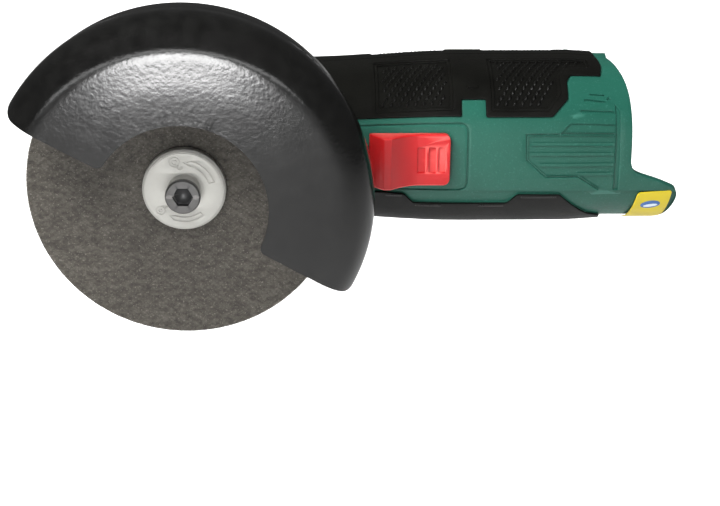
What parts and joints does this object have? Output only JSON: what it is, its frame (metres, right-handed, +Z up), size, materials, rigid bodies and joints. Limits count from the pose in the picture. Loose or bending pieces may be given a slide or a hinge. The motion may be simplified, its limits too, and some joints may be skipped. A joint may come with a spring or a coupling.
{
  "type": "angle grinder",
  "caption": "Palm-size battery cut-off grinder with a straight moulded body, slide switch, abrasive disc on a square spindle and a half-round steel guard.",
  "frame": {"origin": "on the spindle axis, at the flat back face of the gear housing", "axes": "+Y along the spindle from the disc to the back of the head, +X along the motor and body towards the battery bay, +Z up"},
  "size_m": [0.1664, 0.0875, 0.0833],
  "materials": {
    "body_plastic": "moulded, fine spark texture, satin",
    "grip_rubber": "soft overmould, matt",
    "switch_plastic": "moulded, half gloss",
    "guard_steel": "black powder coat with a light orange peel",
    "cast_head": "die cast, black coat",
    "bright_steel": "ground and zinc plated",
    "core_steel": "laminated",
    "black_steel": "black oxide",
    "abrasive": "bonded abrasive with glass fibre mesh",
    "winding_copper": "enamelled copper wire",
    "inner_plastic": "moulded, matt",
    "board": "solder mask",
    "contact_brass": "plated brass",
    "label_film": "printed film"
  },
  "bodies": {
    "body": {"housing_front": "body_plastic", "housing_back": "body_plastic", "grip_front_upper": "grip_rubber", "grip_back_upper": "grip_rubber", "grip_front_lower": "grip_rubber", "grip_back_lower": "grip_rubber", "label": "label_film", "housing_screw_1": "black_steel", "housing_screw_2": "black_steel", "housing_screw_3": "black_steel", "housing_screw_4": "black_steel", "gear_housing": "cast_head", "bearing_plate": "cast_head", "plate_screw_1": "black_steel", "plate_screw_2": "black_steel", "plate_screw_3": "black_steel", "plate_screw_4": "black_steel", "spindle_bearing_front": "bright_steel", "spindle_bearing_back": "bright_steel", "stator": "core_steel", "stator_winding_front": "winding_copper", "stator_winding_back": "winding_copper", "motor_bearing_front": "bright_steel", "motor_bearing_back": "bright_steel", "motor_end_plate": "cast_head", "micro_switch": "inner_plastic", "controller_board": "board", "bay_floor": "inner_plastic", "terminal_1": "contact_brass", "terminal_2": "contact_brass", "terminal_3": "contact_brass", "lock_spring": "bright_steel"},
    "spindle": {"spindle": "bright_steel", "crown_gear": "bright_steel", "gear_ring": "black_steel", "backing_flange": "bright_steel", "cutting_disc": "abrasive", "outer_flange": "bright_steel", "clamp_screw": "black_steel"},
    "rotor": {"motor_shaft": "bright_steel", "rotor": "core_steel", "cooling_fan": "inner_plastic", "pinion": "bright_steel"},
    "guard": {"guard_front": "guard_steel", "guard_rear": "guard_steel", "guard_clamp": "guard_steel", "guard_clamp_screw": "bright_steel", "guard_clamp_nut": "bright_steel"},
    "switch": {"switch_slider": "switch_plastic", "switch_bar": "inner_plastic"},
    "spindle_lock": {"lock_button": "inner_plastic", "lock_pin": "bright_steel"}
  },
  "joints": [
    {"name": "spindle_spin", "type": "hinge", "parent": "body", "child": "spindle", "pos_m": [0, 0, 0], "axis": [0, 1, 0], "continuous": true},
    {"name": "rotor_spin", "type": "hinge", "parent": "body", "child": "rotor", "pos_m": [0, -0.02225, 0], "axis": [1, 0, 0], "continuous": true},
    {"name": "guard_swivel", "type": "hinge", "parent": "body", "child": "guard", "pos_m": [0, -0.0565, 0], "axis": [0, 1, 0], "range_deg": [-30, 150]},
    {"name": "switch_slide", "type": "slide", "parent": "body", "child": "switch", "axis": [-1, 0, 0], "range_m": [0, 0.0055]},
    {"name": "lock_press", "type": "slide", "parent": "body", "child": "spindle_lock", "axis": [0, 0, -1], "range_m": [0, 0.003], "stiffness_N_per_m": 300, "springref_m": -0.004, "deforming": ["lock_spring"]}
  ],
  "couplings": [
    {"joint": "rotor_spin", "follows": "spindle_spin", "ratio": 2.9}
  ]
}
